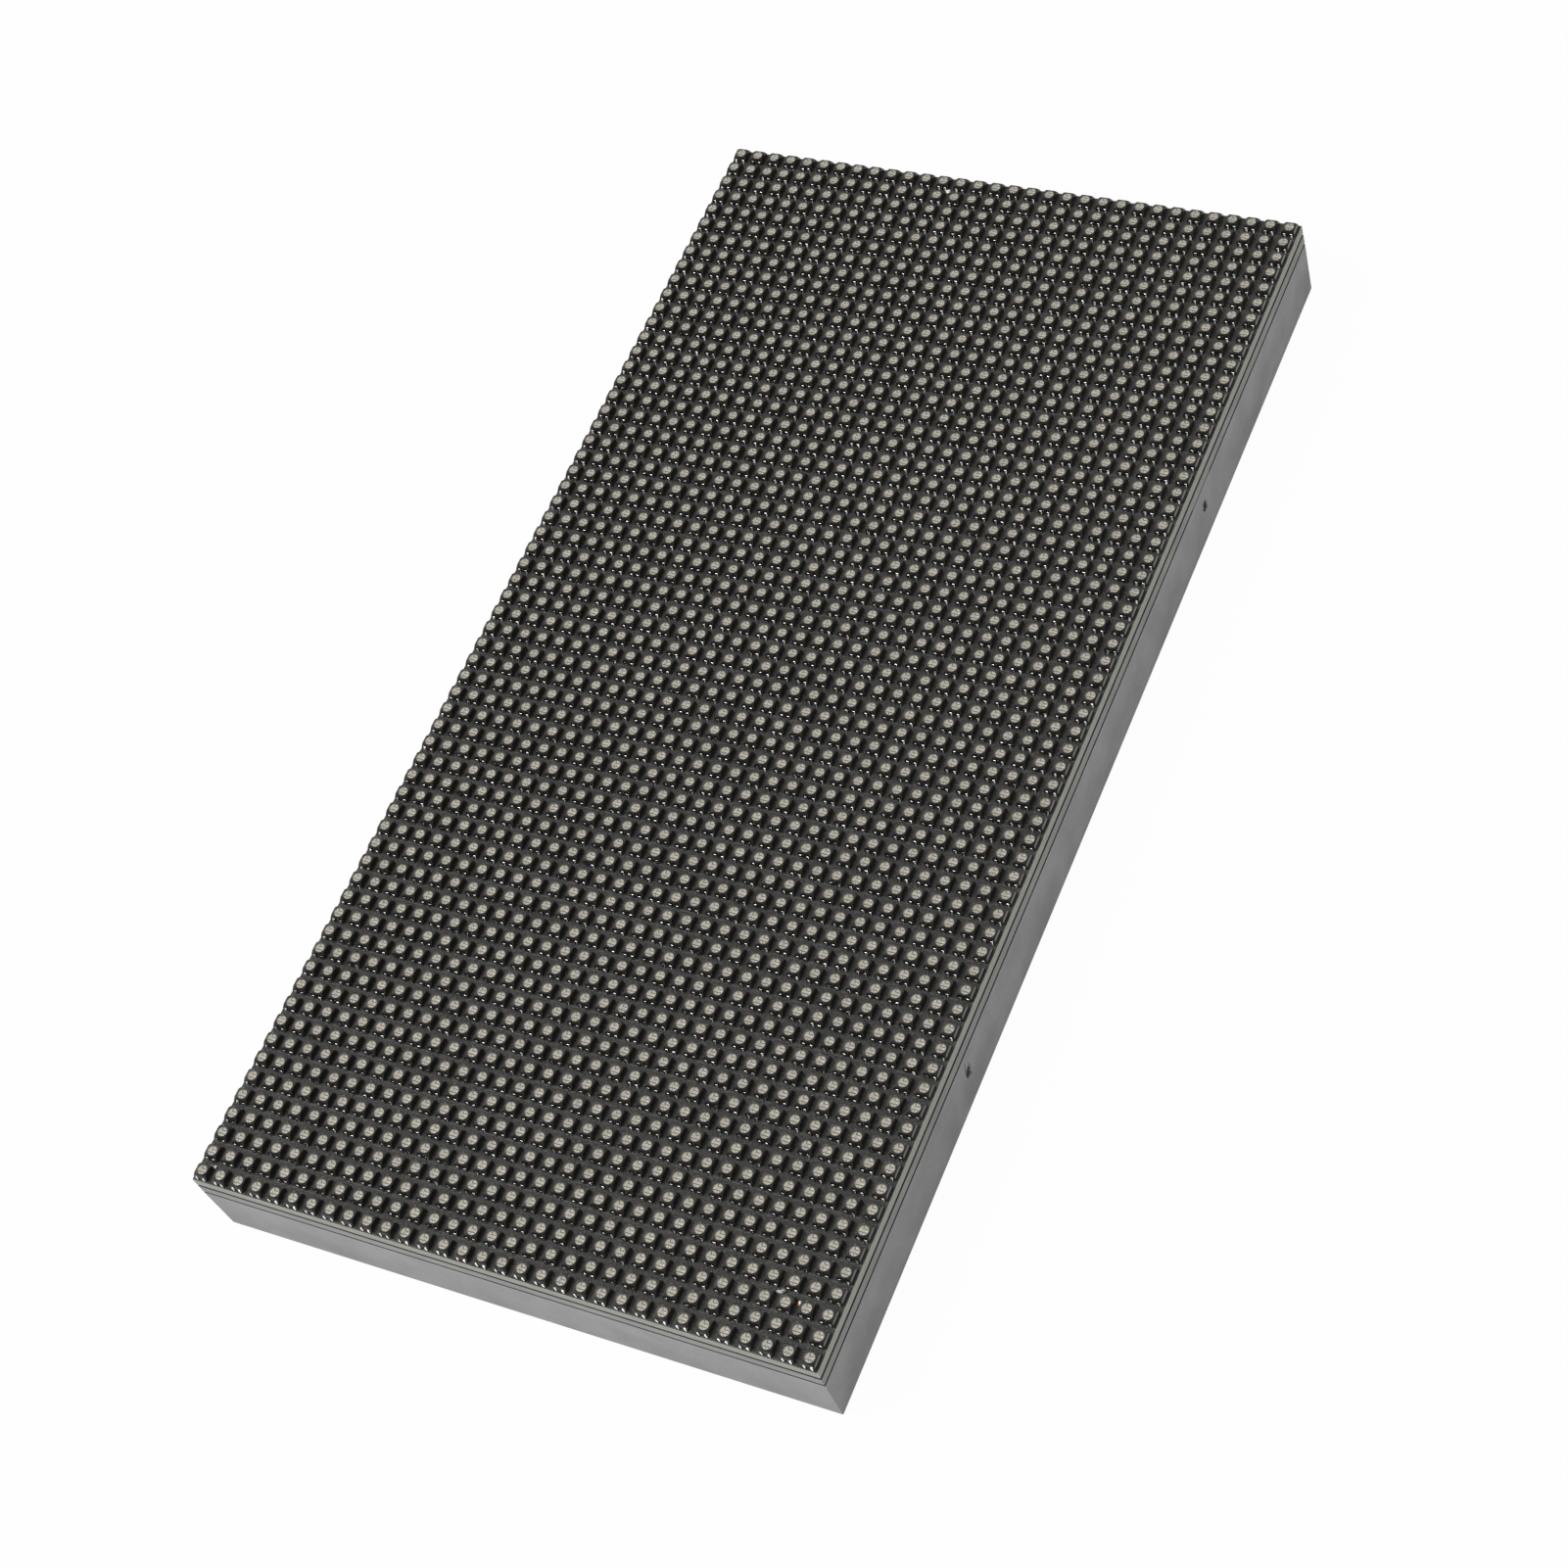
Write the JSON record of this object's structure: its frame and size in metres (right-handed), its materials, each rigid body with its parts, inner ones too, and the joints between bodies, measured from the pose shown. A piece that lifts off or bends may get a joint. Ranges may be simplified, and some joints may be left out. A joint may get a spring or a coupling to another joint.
{
  "type": "rgb led matrix panel",
  "caption": "Flat full-colour LED matrix panel: a black board with a square grid of surface-mount LEDs, drivers and headers behind it, on a grey moulded frame with threaded inserts.",
  "frame": {"origin": "centre of the plane that the rear frame stands on", "axes": "+X along the long side, +Y across the panel, +Z out of the LED face"},
  "size_m": [0.1918, 0.0958, 0.015],
  "materials": {
    "board_black": "black solder mask with bare laminate edges",
    "led_black": "matt black moulded housing",
    "led_resin": "clear resin over a pale lead frame",
    "frame_grey": "fine-textured moulded plastic",
    "brass": "turned",
    "screw_steel": "black zinc",
    "header_black": "moulded",
    "contact_gold": "gold flash",
    "header_white": "moulded",
    "contact_tin": "tin plate",
    "chip_black": "moulded, matt",
    "can_aluminium": "drawn aluminium",
    "ceramic_tan": "fired ceramic with tinned ends",
    "resistor_black": "glazed top with tinned ends"
  },
  "bodies": {
    "root": {"led_board": "board_black", "leds_upper_1": "led_black", "leds_upper_2": "led_black", "leds_upper_3": "led_black", "leds_upper_4": "led_black", "leds_lower_1": "led_black", "leds_lower_2": "led_black", "leds_lower_3": "led_black", "leds_lower_4": "led_black", "windows_upper_1": "led_resin", "windows_upper_2": "led_resin", "windows_upper_3": "led_resin", "windows_upper_4": "led_resin", "windows_lower_1": "led_resin", "windows_lower_2": "led_resin", "windows_lower_3": "led_resin", "windows_lower_4": "led_resin", "rear_frame": "frame_grey", "threaded_inserts": "brass", "board_studs": "brass", "frame_screws": "screw_steel", "data_header_in": "header_black", "data_header_out": "header_black", "data_pins_in": "contact_gold", "data_pins_out": "contact_gold", "power_header": "header_white", "power_pins": "contact_tin", "driver_chips": "chip_black", "row_switch_chips": "chip_black", "row_decoder_chips": "chip_black", "line_buffer_chips": "chip_black", "capacitor_cans": "can_aluminium", "capacitor_bases": "header_black", "ceramic_capacitors": "ceramic_tan", "set_resistors": "resistor_black"}
  },
  "joints": []
}
